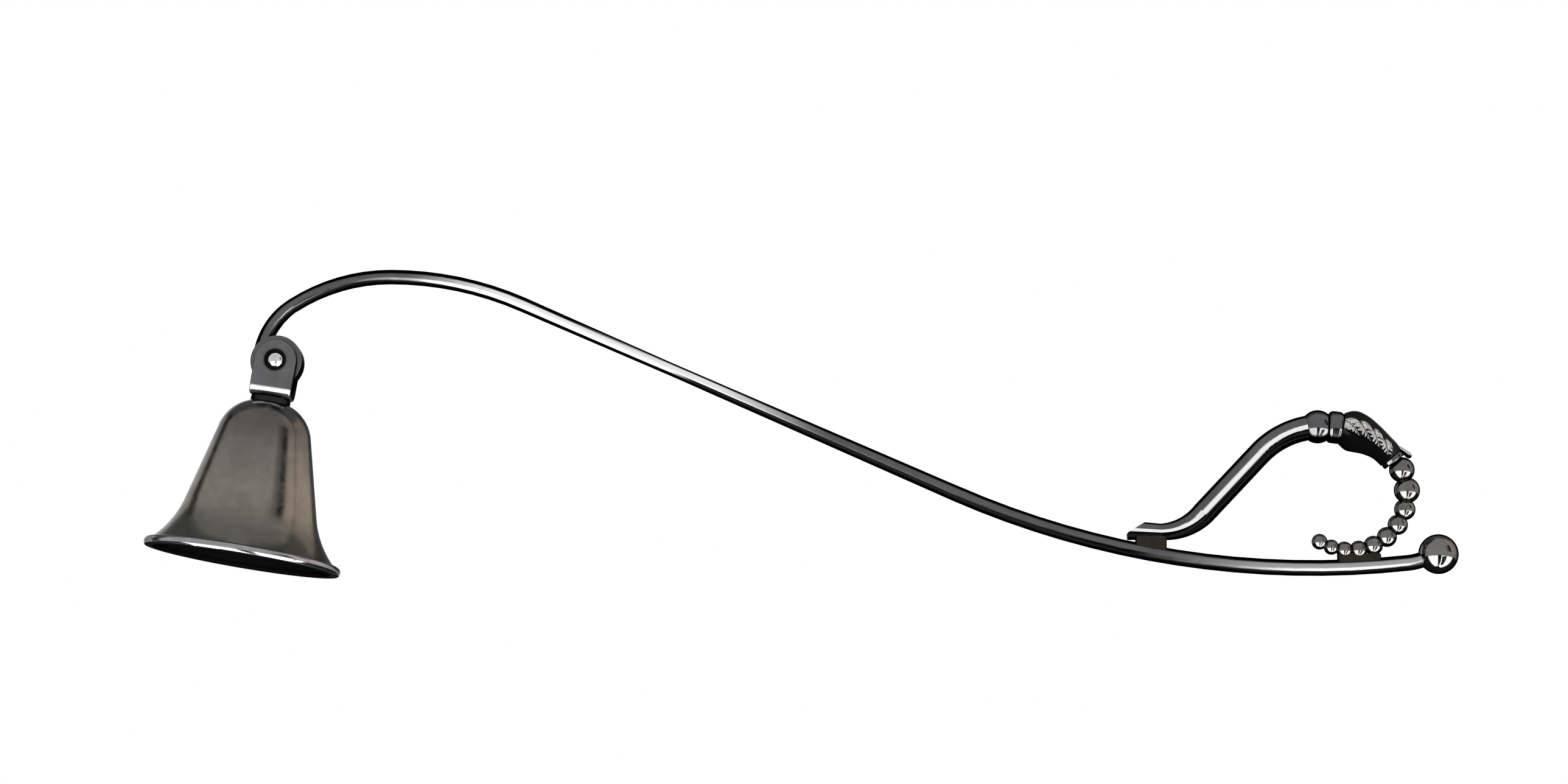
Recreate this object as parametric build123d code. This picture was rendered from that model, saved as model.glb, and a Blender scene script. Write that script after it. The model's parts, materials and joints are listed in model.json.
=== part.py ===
from build123d import *
from math import acos, asin, atan2, cos, degrees, hypot, radians, sin, sqrt
import os

# Candle snuffer: a flared bell hangs by a riveted yoke from a pin through the eye of a long curved rod.
# The rod's tail carries a ball, and above it a stem, a leaf bud and a row of beads close a finger loop.
# Millimetres, +Z up, +X towards the ball. It stands on the rod's heel and on the low edge of the bell's rim.

# Bell: depths run along its axis from the pin, radii run out from its axis
BELL_TILT = 9.0  # degrees that the bell hangs out of plumb, mouth towards -X
MOUTH_RADIUS = 17.6  # to the centre of the rim wire
MOUTH_DEPTH = 37.45  # to the centre of the rim wire
BELL_WALL = 0.9
CROWN_FLAT_RADIUS = 1.1
CROWN_ARC_RADIUS = 7.85
WALL_ANGLE = 14.1  # degrees between the straight wall and the axis
LIP_ANGLE = 49.0  # degrees between the lip and the axis
RIM_WIRE_RADIUS = 0.95
RIM_FLAT_DEPTH = 0.25  # filed off the underside of the rim wire

# Yoke, its rivet and the hinge pin
EYE_RADIUS = 4.85
EYE_THICKNESS = 4.2
EYE_SIDE_PLAY = 0.15
STRAP_THICKNESS = 1.3
EAR_RADIUS = 3.95
EAR_FOOT_WIDTH = 7.8
FLOOR_PLAY = 0.3  # between the eye and the rivet's head
BEND_RADIUS = 1.7
INNER_BEND_RADIUS = 0.3
STRAP_ROUND = 0.35  # along the strap's outer edges
HEAD_RECESS_RADIUS = 2.0
HEAD_RECESS_DEPTH = 0.3
PIN_RADIUS = 1.1
PIN_PLAY = 0.05  # radial, in the eye
PIN_HEAD_RADIUS = 1.55
PIN_HEAD_HEIGHT = 0.85
NECK_RADIUS = 3.75
NECK_HEIGHT = 0.6  # between the yoke and the top of the crown
NECK_ROUND = 0.3
RIVET_RADIUS = 1.2
RIVET_TOP_RADIUS = 2.2
RIVET_TOP_HEIGHT = 0.4
RIVET_FOOT_RADIUS = 2.6
RIVET_FOOT_HEIGHT = 1.0

# Handle rod: reaches run ahead of the pin, the rise runs above it
ARCH_REACH = 21.1
ARCH_RISE = 16.4
ARCH_RADIUS = 33.5
SHOULDER_RADIUS = 62.5
HEEL_REACH = 195.0
HEEL_RADIUS = 166.0
HEEL_END_ANGLE = 6.2  # degrees of climb where the heel's curve ends
TIP_RADIUS = 11.5
TIP_TURN = 12.5  # degrees
ROD_ARCH_RADIUS = 1.4
ROD_WAIST_RADIUS = 1.2
ROD_HEEL_RADIUS = 1.5
WAIST_SHARE = 0.35  # of the straight, from its upper end
EYE_SINK = 0.15  # of the rod's outer side into the eye
ROOT_RADIUS = 1.55  # of the rod in the plane of its curve, where it runs into the eye
NECK_WIDTH_SHARE = 0.9  # of the eye's thickness, where the rod runs into it
BALL_RADIUS = 3.75
TENON_RADIUS = 0.9
TENON_LENGTH = 2.4

# Crook of the finger loop: lengths run along a circle, from the collar bead to the row of beads
CROOK_AHEAD = 2.45  # of the heel's lowest point
CROOK_RADIUS = 16.7
CROOK_START_ANGLE = -10.3  # degrees from the top of the circle, towards the ball
COLLAR_BEAD_LENGTH = 4.0
COLLAR_BEAD_RADIUS = 3.15
COLLAR_RING_LENGTH = 2.6
COLLAR_RING_RADIUS = 3.05
COLLAR_RING_ROUND = 0.5
BUD_LENGTH = 10.85
BUD_RADIUS = 3.75
BUD_PLACE_SHARES = (0.0, 0.16, 0.32, 0.56, 0.78, 1.0)
BUD_RADIUS_SHARES = (0.82, 1.0, 0.97, 0.80, 0.68, 0.66)
LEAF_LENGTH = 5.0
LEAF_WIDTH = 3.4
LEAF_RISE = 0.5  # of a leaf's middle above the bud's body
LEAF_SINK = 0.3  # of a leaf's edge plane into the bud's body
LEAF_PLACE_SHARES = (0.17, 0.39, 0.60, 0.79)  # of the bud's length
LEAF_SIZE_SHARES = (1.0, 0.94, 0.82, 0.70)
LEAF_SIDE_ANGLE = 66.0  # degrees each side of the bud's outer line
LEAF_SLANT = 24.0  # degrees that the leaves point down as they run forwards
MIDRIB_RADIUS = 0.3
LEAF_TIP_WIDTH = 2.6
LEAF_TIP_THICKNESS = 1.1
LEAF_TIP_SINK = 0.1  # of its middle below the leaf's end
LEAF_TIP_RISE = 0.5  # of its point above the leaf's end
LEAF_TIP_OVERHANG = 2.1  # of its point past the leaf's end
LEAF_TIP_REACH = 3.4  # of its root back along the bud
LEAF_ROOT_SHARE = 0.5  # of the leaf tip's width and thickness, where it grows out of the bud
LEAF_POINT_SHARE = 1.05  # of the leaf tip's width and thickness, at its point
TIP_COLLAR_LENGTH = 1.1
TIP_COLLAR_RADIUS = 2.35
TIP_COLLAR_ROUND = 0.3

# Beads and the pad that carries their row on the rod
BEAD_RADIUS = 2.45
BEAD_SHARES = (0.98, 1.0, 0.82, 0.78, 0.77, 0.74, 0.69, 0.65, 0.59, 0.61)
BEAD_TOUCH_SHARE = 0.82  # of two radii, from one bead's centre to the next
BEAD_ROW_RADIUS = 10.95
BEAD_ROW_LIFT = 0.8  # of the row's circle above the one that runs smoothly out of the crook
BEAD_ROW_GAP = 1.7  # from the rod's top to the lowest point of the row's centre line
PAD_BEADS = (6, 7, 8)  # counted from the bud
PAD_COLUMN_SHARE = 0.62  # of the bead's radius
TAIL_PAD_OVERHANG = 1.3  # past the centres of the outer beads
TAIL_PAD_WIDTH = 2.4
TAIL_PAD_HEIGHT = 0.9  # above the rod's top
PAD_ROUND = 0.5

# Stem from the rod up to the crook
FOOT_BACK = 28.4  # from the heel's lowest point to the foot's inner end
FOOT_LENGTH = 6.3
FOOT_GAP = 1.3  # between the rod's top and the stem at the foot's inner end
FOOT_BEND_RADIUS = 11.0
FOOT_THICKNESS = 3.1
FOOT_END_THICKNESS = 3.7
FOOT_TIP_HEIGHT = 1.3
FOOT_CUT_ANGLE = 32.0  # degrees between the cut end and the foot
STEM_THICKNESS = 4.5
STEM_TOP_THICKNESS = 4.7
STEM_WIDTH_SHARE = 0.86  # of its thickness
STEM_ROUND_SHARE = 0.42  # of its thickness
STEM_PAD_LENGTH = 5.8
STEM_PAD_BACK = 1.9  # from the foot's inner end to the pad's middle
STEM_PAD_WIDTH = 2.4

# Cuts run past what they cut by this much
OVERRUN = 5.0

# Which way a cylinder runs from its own zero
UPWARDS = (Align.CENTER, Align.CENTER, Align.MIN)
DOWNWARDS = (Align.CENTER, Align.CENTER, Align.MAX)


def cross_tangent(across, up, lower_circle, upper_circle):
    """Slope in degrees and length of the line that crosses between two circles, from one onto the other."""
    apart = hypot(across, up)
    both = lower_circle + upper_circle
    slope = degrees(atan2(across, up) - acos(both / apart))
    return slope, sqrt(apart**2 - both**2)


# Yoke widths along the pin, and the depths of its underside and of the crown
YOKE_GAP = EYE_THICKNESS + 2 * EYE_SIDE_PLAY
YOKE_WIDTH = YOKE_GAP + 2 * STRAP_THICKNESS
PIN_LENGTH = YOKE_WIDTH - 2 * HEAD_RECESS_DEPTH
YOKE_FLOOR_DEPTH = EYE_RADIUS + FLOOR_PLAY + RIVET_TOP_HEIGHT + STRAP_THICKNESS
CROWN_DEPTH = YOKE_FLOOR_DEPTH + NECK_HEIGHT

# Where the pin stands: the rim's low edge is at floor level, and the whole part is centred along X
TILT = radians(BELL_TILT)
RIM_DEPTH = MOUTH_DEPTH + RIM_WIRE_RADIUS - RIM_FLAT_DEPTH
RIM_FOOT_RADIUS = MOUTH_RADIUS + sqrt(RIM_WIRE_RADIUS**2 - (RIM_WIRE_RADIUS - RIM_FLAT_DEPTH) ** 2)
PIN_HEIGHT = RIM_DEPTH * cos(TILT) + RIM_FOOT_RADIUS * sin(TILT)
BALL_SEAT = sqrt(BALL_RADIUS**2 - ROD_HEEL_RADIUS**2)
HEEL_END = radians(HEEL_END_ANGLE)
TIP_END = radians(HEEL_END_ANGLE + TIP_TURN)
BALL_REACH = HEEL_REACH + HEEL_RADIUS * sin(HEEL_END) + TIP_RADIUS * (sin(TIP_END) - sin(HEEL_END))
FRONT_REACH = BALL_REACH + BALL_SEAT * cos(TIP_END) + BALL_RADIUS
BACK_REACH = MOUTH_DEPTH * sin(TILT) + MOUTH_RADIUS * cos(TILT) + RIM_WIRE_RADIUS
PIN_X = (BACK_REACH - FRONT_REACH) / 2
HEEL_X = PIN_X + HEEL_REACH
PIN_PLACE = Pos(PIN_X, 0, PIN_HEIGHT)
BELL_PLACE = PIN_PLACE * Rot(0, BELL_TILT, 0)

# Crook, row of beads and their circles
CROOK_X = HEEL_X + CROOK_AHEAD
BUD_START = COLLAR_BEAD_LENGTH + COLLAR_RING_LENGTH
CROOK_LENGTH = BUD_START + BUD_LENGTH + TIP_COLLAR_LENGTH
ROW_START_ANGLE = CROOK_START_ANGLE + degrees(CROOK_LENGTH / CROOK_RADIUS)
CIRCLE_STEP = CROOK_RADIUS - BEAD_ROW_RADIUS
BEAD_RADII = [share * BEAD_RADIUS for share in BEAD_SHARES]
ROW_X = CROOK_X + CIRCLE_STEP * sin(radians(ROW_START_ANGLE))


def rod_top(x):
    """Height of the rod's upper side over the heel."""
    inside = HEEL_RADIUS - ROD_HEEL_RADIUS
    return ROD_HEEL_RADIUS + HEEL_RADIUS - sqrt(inside**2 - (x - HEEL_X) ** 2)


ROW_Z = rod_top(ROW_X) + BEAD_ROW_GAP + BEAD_ROW_RADIUS
CROOK_Z = ROW_Z - CIRCLE_STEP * cos(radians(ROW_START_ANGLE)) - BEAD_ROW_LIFT
FOOT_X = HEEL_X - FOOT_BACK
FOOT_Z = rod_top(FOOT_X) + FOOT_GAP + FOOT_THICKNESS / 2


def on_circle(centre_x, centre_z, radius, angle):
    """Point of an upright circle, at an angle from its top towards the ball."""
    turn = radians(angle)
    return Vector(centre_x + radius * sin(turn), 0, centre_z + radius * cos(turn))


def crook_plane(angle):
    """Plane square across the crook: its x runs along Y, its y out from the crook's circle."""
    turn = radians(angle)
    origin = on_circle(CROOK_X, CROOK_Z, CROOK_RADIUS, angle)
    return Plane(origin=origin, x_dir=(0, 1, 0), z_dir=(cos(turn), 0, -sin(turn)))


def crook_angle(length):
    """Angle on the crook at a length from its start."""
    return CROOK_START_ANGLE + degrees(length / CROOK_RADIUS)


def turned(outline):
    """Solid of revolution about the bell's axis, from a face of radius and height above the pin."""
    return revolve(Plane.XZ * outline, Axis.Z)


def cross_bar(radius, length):
    """Round bar along Y, with its middle at zero."""
    return Rot(90, 0, 0) * Cylinder(radius, length)


def flare_circle():
    """Centre, as radius and depth, and radius of the flare that joins the straight wall to the lip."""
    wall = radians(WALL_ANGLE)
    lip = radians(LIP_ANGLE)
    crown_end = (CROWN_FLAT_RADIUS + CROWN_ARC_RADIUS * cos(wall),
                 CROWN_DEPTH + CROWN_ARC_RADIUS * (1 - sin(wall)))
    lip_end = (MOUTH_RADIUS + BELL_WALL / 2 * cos(lip), MOUTH_DEPTH - BELL_WALL / 2 * sin(lip))
    out = lip_end[0] - crown_end[0]
    down = lip_end[1] - crown_end[1]
    flare_out = cos(wall) - cos(lip)
    flare_down = sin(lip) - sin(wall)
    scale = flare_out * cos(wall) - flare_down * sin(wall)
    flare_radius = (out * cos(wall) - down * sin(wall)) / scale
    wall_length = (down * flare_out - out * flare_down) / scale
    flare_start = (crown_end[0] + wall_length * sin(wall), crown_end[1] + wall_length * cos(wall))
    flare_centre = (flare_start[0] + flare_radius * cos(wall), flare_start[1] - flare_radius * sin(wall))
    return flare_centre, flare_radius


def bell_section(inset):
    """Half section of the solid bell, its outer edge moved inwards by the inset."""
    flare_centre, flare_radius = flare_circle()
    crown_centre = (CROWN_FLAT_RADIUS, -CROWN_DEPTH - CROWN_ARC_RADIUS)
    crown = CenterArc(crown_centre, CROWN_ARC_RADIUS - inset, 90, WALL_ANGLE - 90)
    flare = CenterArc((flare_centre[0], -flare_centre[1]), flare_radius + inset,
                      180 + WALL_ANGLE, LIP_ANGLE - WALL_ANGLE)
    wall = Line(crown @ 1, flare @ 0)
    top = (0, -CROWN_DEPTH - inset)
    bottom = (0, (flare @ 1).Y)
    return make_face([Line(top, crown @ 0), crown, wall, flare, Line(flare @ 1, bottom), Line(bottom, top)])


def shell_section():
    """Half section of the bell's wall, square across at the lip."""
    flare_centre, flare_radius = flare_circle()
    lip = radians(LIP_ANGLE)
    outer = bell_section(0)
    inner = bell_section(BELL_WALL)
    lip_end = (flare_centre[0] - flare_radius * cos(lip), -flare_centre[1] - flare_radius * sin(lip))
    lip_in = (lip_end[0] - BELL_WALL * cos(lip), lip_end[1] - BELL_WALL * sin(lip))
    axis_end = (0, lip_in[1])
    skirt = make_face(Polyline((0, lip_end[1]), lip_end, lip_in, axis_end, close=True))
    return outer + skirt - inner


def wire_section():
    """Section of the rim wire before it is filed."""
    return Pos(MOUTH_RADIUS, -MOUTH_DEPTH) * Circle(RIM_WIRE_RADIUS)


def rivet_hole():
    """Hole for the rivet's shank, through all that it holds together."""
    return Cylinder(RIVET_RADIUS, CROWN_DEPTH + BELL_WALL + OVERRUN, align=DOWNWARDS)


def bell_cup():
    """Spun bell: domed crown, straight wall and flared lip that ends on the rim wire."""
    return BELL_PLACE * (turned(shell_section() - wire_section()) - rivet_hole())


def rim_wire():
    """Round wire along the lip, filed flat where it stands."""
    filed = Pos(MOUTH_RADIUS, -RIM_DEPTH) * Rectangle(OVERRUN, OVERRUN, align=(Align.CENTER, Align.MAX))
    return BELL_PLACE * turned(wire_section() - filed)


def neck_collar():
    """Washer between the yoke and the crown, hollowed underneath to sit on the crown."""
    height = CROWN_DEPTH + BELL_WALL - YOKE_FLOOR_DEPTH
    disc = Pos(0, 0, -YOKE_FLOOR_DEPTH) * Cylinder(NECK_RADIUS, height, align=DOWNWARDS)
    disc = fillet(disc.edges().group_by(Axis.Z)[-1], NECK_ROUND)
    return BELL_PLACE * (disc - turned(bell_section(0)) - rivet_hole())


def dome_section(radius, height):
    """Half section of a domed head, from the middle of its flat side up to its crown."""
    arc_radius = (radius**2 + height**2) / (2 * height)
    spread = degrees(asin(radius / arc_radius))
    arc = CenterArc((0, height - arc_radius), arc_radius, 90, -spread)
    return make_face([arc, Line(arc @ 1, (0, 0)), Line((0, 0), arc @ 0)])


def crown_rivet():
    """Rivet with a low head inside the yoke and a domed head inside the bell."""
    top = STRAP_THICKNESS - YOKE_FLOOR_DEPTH
    seat = -CROWN_DEPTH - BELL_WALL
    shank = Pos(RIVET_RADIUS / 2, (top + seat) / 2) * Rectangle(RIVET_RADIUS, top - seat)
    head = Pos(0, top) * dome_section(RIVET_TOP_RADIUS, RIVET_TOP_HEIGHT)
    foot = Pos(0, seat) * mirror(dome_section(RIVET_FOOT_RADIUS, RIVET_FOOT_HEIGHT), Plane.XZ)
    return BELL_PLACE * turned(shank + head + (foot - shell_section()))


def ear_outline():
    """Side view of the yoke: a round ear that narrows along straight sides to its foot."""
    half_foot = EAR_FOOT_WIDTH / 2
    lean = asin(EAR_RADIUS / hypot(half_foot, YOKE_FLOOR_DEPTH)) - atan2(half_foot, YOKE_FLOOR_DEPTH)
    side_x = EAR_RADIUS * cos(lean)
    side_z = -EAR_RADIUS * sin(lean)
    right = [(half_foot, -YOKE_FLOOR_DEPTH), (side_x, side_z)]
    left = [(-side_x, side_z), (-half_foot, -YOKE_FLOOR_DEPTH)]
    return Circle(EAR_RADIUS) + make_face(Polyline(right + left, close=True))


def outer_edges(strap):
    """Edges along the outer side of the bent strap, not those across it."""
    inside = YOKE_WIDTH / 2 - STRAP_THICKNESS / 2
    above = STRAP_THICKNESS / 2 - YOKE_FLOOR_DEPTH
    middles = [(edge, edge @ 0.5) for edge in strap.edges()]
    outer = [edge for edge, middle in middles if abs(middle.Y) > inside or middle.Z < above]
    return [edge for edge in outer if abs((edge % 0.5).X) < 1 or edge.geom_type == GeomType.CIRCLE]


def yoke():
    """Strap bent to a U: two round ears for the pin, joined by a floor with rounded bends."""
    height = YOKE_FLOOR_DEPTH + EAR_RADIUS
    strap = Pos(0, EAR_RADIUS) * Rectangle(YOKE_WIDTH, height, align=(Align.CENTER, Align.MAX))
    strap = fillet(strap.vertices().group_by(Axis.Y)[0], BEND_RADIUS)
    floor = STRAP_THICKNESS - YOKE_FLOOR_DEPTH
    gap = Pos(0, floor) * Rectangle(YOKE_GAP, height + OVERRUN, align=(Align.CENTER, Align.MIN))
    gap = fillet(gap.vertices().group_by(Axis.Y)[0], INNER_BEND_RADIUS)
    bent = extrude(Plane.YZ * (strap - gap), EAR_RADIUS + OVERRUN, both=True)
    outline = extrude(Plane.XZ * ear_outline(), YOKE_WIDTH, both=True)
    shaped = bent & outline
    shaped = fillet(outer_edges(shaped), STRAP_ROUND)
    long = YOKE_WIDTH + OVERRUN
    recesses = cross_bar(HEAD_RECESS_RADIUS, long) - cross_bar(HEAD_RECESS_RADIUS, PIN_LENGTH)
    return BELL_PLACE * (shaped - cross_bar(PIN_RADIUS, long) - recesses - rivet_hole())


def hinge_pin():
    """Pin through both ears, with a domed head in each recess."""
    head = Pos(0, 0, PIN_LENGTH / 2) * turned(dome_section(PIN_HEAD_RADIUS, PIN_HEAD_HEIGHT))
    shank = Cylinder(PIN_RADIUS, PIN_LENGTH)
    return BELL_PLACE * (Rot(90, 0, 0) * (shank + head + mirror(head, Plane.XY)))


def rod_path():
    """The rod's centre line in order: neck, arch, shoulder, straight, heel and tip."""
    side = EYE_RADIUS - ROOT_RADIUS - EYE_SINK
    reach = ARCH_REACH + side
    neck_radius = (reach**2 + ARCH_RISE**2 - 2 * ARCH_RADIUS * ARCH_RISE) / (2 * (reach - ARCH_RADIUS))
    arch_turn = degrees(atan2(reach - neck_radius, ARCH_RADIUS - ARCH_RISE))
    climb = ROD_HEEL_RADIUS + HEEL_RADIUS - (PIN_HEIGHT + ARCH_RISE - SHOULDER_RADIUS)
    slope, length = cross_tangent(HEEL_REACH - ARCH_REACH, climb, SHOULDER_RADIUS, HEEL_RADIUS)
    neck = JernArc((PIN_X - side, PIN_HEIGHT), (0, 1), neck_radius, arch_turn - 90)
    arch = JernArc(neck @ 1, neck % 1, ARCH_RADIUS, -arch_turn)
    shoulder = JernArc(arch @ 1, arch % 1, SHOULDER_RADIUS, -slope)
    straight = Line(shoulder @ 1, shoulder @ 1 + (shoulder % 1) * length)
    heel = JernArc(straight @ 1, straight % 1, HEEL_RADIUS, slope + HEEL_END_ANGLE)
    tip = JernArc(heel @ 1, heel % 1, TIP_RADIUS, TIP_TURN)
    return [Plane.XZ * piece for piece in (neck, arch, shoulder, straight, heel, tip)]


def handle_rod():
    """Forged rod with the hinge eye at one end and the ball's tenon at the other."""
    neck, arch, shoulder, straight, heel, tip = rod_path()
    arch_section = Circle(ROD_ARCH_RADIUS)
    waist_section = (straight ^ WAIST_SHARE) * Circle(ROD_WAIST_RADIUS)
    heel_section = Circle(ROD_HEEL_RADIUS)
    root = Plane(origin=neck @ 0, x_dir=(0, 1, 0), z_dir=neck % 0)
    end = Plane(origin=neck @ 1, x_dir=(0, 1, 0), z_dir=neck % 1)
    root_section = root * Ellipse(NECK_WIDTH_SHARE * EYE_THICKNESS / 2, ROOT_RADIUS)
    bar = sweep([root_section, end * arch_section], path=neck, multisection=True)
    bar += sweep((arch ^ 0) * arch_section, path=arch + shoulder)
    bar += loft([(straight ^ 0) * arch_section, waist_section])
    bar += loft([waist_section, (straight ^ 1) * heel_section])
    bar += sweep((heel ^ 0) * heel_section, path=heel + tip)
    bar += extrude((tip ^ 1) * Circle(TENON_RADIUS), TENON_LENGTH)
    bar += PIN_PLACE * cross_bar(EYE_RADIUS, EYE_THICKNESS)
    return bar - PIN_PLACE * cross_bar(PIN_RADIUS + PIN_PLAY, EYE_THICKNESS + OVERRUN)


def ball_finial():
    """Ball on the rod's tail, faced and drilled for the tenon."""
    end = rod_path()[-1] ^ 1
    ball = end * Pos(0, 0, BALL_SEAT) * Sphere(BALL_RADIUS)
    faced = end * Cylinder(BALL_RADIUS, BALL_RADIUS, align=DOWNWARDS)
    drilled = end * Cylinder(TENON_RADIUS, TENON_LENGTH, align=UPWARDS)
    return ball - faced - drilled


def stem_section(thickness):
    """Section of the stem: an oval with slightly flat faces, a little narrower than it is thick."""
    return RectangleRounded(STEM_WIDTH_SHARE * thickness, thickness, STEM_ROUND_SHARE * thickness)


def stem_bar(piece, start_thickness, end_thickness):
    """Bar along one piece of the stem's centre line, from one thickness to another."""
    line = Plane.XZ * piece
    start = Plane(origin=line @ 0, x_dir=(0, 1, 0), z_dir=line % 0) * stem_section(start_thickness)
    end = Plane(origin=line @ 1, x_dir=(0, 1, 0), z_dir=line % 1) * stem_section(end_thickness)
    return sweep([start, end], path=line, multisection=True)


def stem_foot():
    """Foot of the stem: level underneath, swelling towards its end, which is cut to a slant above its tip."""
    end_x = FOOT_X - FOOT_LENGTH
    underside = FOOT_Z - FOOT_THICKNESS / 2
    end = Plane(origin=(end_x, 0, underside + FOOT_END_THICKNESS / 2), x_dir=(0, 1, 0), z_dir=(1, 0, 0))
    inner_end = Plane(origin=(FOOT_X, 0, FOOT_Z), x_dir=(0, 1, 0), z_dir=(1, 0, 0))
    bar = loft([end * stem_section(FOOT_END_THICKNESS), inner_end * stem_section(FOOT_THICKNESS)])
    slant = radians(FOOT_CUT_ANGLE)
    tip = (end_x, 0, underside + FOOT_TIP_HEIGHT)
    cut = Plane(origin=tip, x_dir=(0, 1, 0), z_dir=(sin(slant), 0, -cos(slant)))
    return split(bar, bisect_by=cut, keep=Keep.TOP)


def stem():
    """S-curved stem: a foot, a bend, a straight and the crook's own curve up to the collar bead."""
    up = FOOT_Z + FOOT_BEND_RADIUS - CROOK_Z
    slope, length = cross_tangent(CROOK_X - FOOT_X, up, CROOK_RADIUS, FOOT_BEND_RADIUS)
    bend = JernArc((FOOT_X, FOOT_Z), (1, 0), FOOT_BEND_RADIUS, slope)
    rise = Line(bend @ 1, bend @ 1 + (bend % 1) * length)
    crook = JernArc(rise @ 1, rise % 1, CROOK_RADIUS, -(slope + CROOK_START_ANGLE))
    bar = stem_foot() + stem_bar(bend, FOOT_THICKNESS, STEM_THICKNESS)
    bar += stem_bar(rise, STEM_THICKNESS, STEM_THICKNESS)
    return bar + stem_bar(crook, STEM_THICKNESS, STEM_TOP_THICKNESS)


def stem_pad(rod, stem_solid):
    """Soldered pad between the rod's top and the stem's foot."""
    middle = FOOT_X - STEM_PAD_BACK
    low = rod_top(middle) - ROD_HEEL_RADIUS
    high = FOOT_Z
    block = Box(STEM_PAD_LENGTH, STEM_PAD_WIDTH, high - low)
    block = fillet(block.edges().filter_by(Axis.Z), PAD_ROUND)
    return Pos(middle, 0, (low + high) / 2) * block - rod - stem_solid


def between(solid, start_plane, end_plane):
    """What lies past the first plane and before the second."""
    return split(split(solid, bisect_by=start_plane, keep=Keep.TOP), bisect_by=end_plane, keep=Keep.BOTTOM)


def crook_disc(outline, start, length):
    """Turned piece on the crook, its ends square to the crook so that it meets its neighbours flat."""
    middle = crook_plane(crook_angle(start + length / 2))
    blank = middle * revolve(Plane.XZ * outline, Axis.Z)
    return between(blank, crook_plane(crook_angle(start)), crook_plane(crook_angle(start + length)))


def disc_outline(radius, length, round_radius):
    """Half outline of a disc with rounded rims, a little longer than it ends up."""
    long = length + length * radius / CROOK_RADIUS
    corner_high = length / 2 - length * radius / (2 * CROOK_RADIUS)
    block = Pos(radius / 2, 0) * Rectangle(radius, long)
    return fillet(block.vertices().group_by(Axis.X)[-1], round_radius + long / 2 - corner_high)


def collar_bead():
    """Flattened bead at the top of the stem."""
    ball = crook_plane(crook_angle(COLLAR_BEAD_LENGTH / 2)) * Sphere(COLLAR_BEAD_RADIUS)
    return between(ball, crook_plane(crook_angle(0)), crook_plane(crook_angle(COLLAR_BEAD_LENGTH)))


def collar_ring():
    """Plain ring between the flattened bead and the bud."""
    outline = disc_outline(COLLAR_RING_RADIUS, COLLAR_RING_LENGTH, COLLAR_RING_ROUND)
    return crook_disc(outline, COLLAR_BEAD_LENGTH, COLLAR_RING_LENGTH)


def on_crook(length, out):
    """Point at a length along the crook, out from its centre line."""
    return on_circle(CROOK_X, CROOK_Z, CROOK_RADIUS + out, crook_angle(length))


def bud_radius(place):
    """Radius of the bud's body at a share of its length, between its sections."""
    number = max(index for index, share in enumerate(BUD_PLACE_SHARES[:-1]) if share <= place)
    start, end = BUD_PLACE_SHARES[number:number + 2]
    first, second = BUD_RADIUS_SHARES[number:number + 2]
    return BUD_RADIUS * (first + (second - first) * (place - start) / (end - start))


def side_leaf(place, size, side):
    """One raised leaf on a side of the bud."""
    across = crook_plane(crook_angle(BUD_START + place * BUD_LENGTH))
    turn = radians(side * LEAF_SIDE_ANGLE)
    normal = across.x_dir * sin(turn) + across.y_dir * cos(turn)
    seat = across.origin + normal * (bud_radius(place) - LEAF_SINK)
    blade = scale(Sphere(1), (size * LEAF_LENGTH / 2, size * LEAF_WIDTH / 2, size * LEAF_RISE + LEAF_SINK))
    return Plane(origin=seat, x_dir=across.z_dir, z_dir=normal) * Rot(0, 0, -side * LEAF_SLANT) * blade


def along_bud(radii, outs):
    """Round bar along the bud, with a radius and a distance out from the bud's axis at each section."""
    circles = []
    for place, radius, out in zip(BUD_PLACE_SHARES, radii, outs):
        across = crook_plane(crook_angle(BUD_START + place * BUD_LENGTH))
        circles.append(across * Pos(0, out) * Circle(radius))
    return loft(circles)


def leaf_tip():
    """Point of the leaf, curling out over the tip collar."""
    end = BUD_START + BUD_LENGTH
    surface = BUD_RADIUS_SHARES[-1] * BUD_RADIUS
    root = on_crook(end - LEAF_TIP_REACH, surface - LEAF_TIP_THICKNESS)
    over_end = on_crook(end, surface - LEAF_TIP_SINK)
    point = on_crook(end + LEAF_TIP_OVERHANG, surface + LEAF_TIP_RISE)
    line = ThreePointArc(root, over_end, point)
    sections = []
    for place, share in ((0, LEAF_ROOT_SHARE), (1 / 2, 1), (1, LEAF_POINT_SHARE)):
        plane = Plane(origin=line @ place, x_dir=(0, 1, 0), z_dir=line % place)
        sections.append(plane * Ellipse(share * LEAF_TIP_WIDTH / 2, share * LEAF_TIP_THICKNESS / 2))
    return sweep(sections, path=line, multisection=True)


def bud():
    """Leaf bud along the crook: a swelling body with a grooved back, raised side leaves and a curled tip."""
    radii = [share * BUD_RADIUS for share in BUD_RADIUS_SHARES]
    body = along_bud(radii, [0] * len(radii)) - along_bud([MIDRIB_RADIUS] * len(radii), radii)
    for place, size in zip(LEAF_PLACE_SHARES, LEAF_SIZE_SHARES):
        body += side_leaf(place, size, -1)
        body += side_leaf(place, size, 1)
    first_bead = Pos(bead_centres()[0]) * Sphere(BEAD_RADII[0])
    return body + (leaf_tip() - bud_tip_collar() - first_bead)


def bud_tip_collar():
    """Small ring that ends the bud."""
    outline = disc_outline(TIP_COLLAR_RADIUS, TIP_COLLAR_LENGTH, TIP_COLLAR_ROUND)
    return crook_disc(outline, BUD_START + BUD_LENGTH, TIP_COLLAR_LENGTH)


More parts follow.
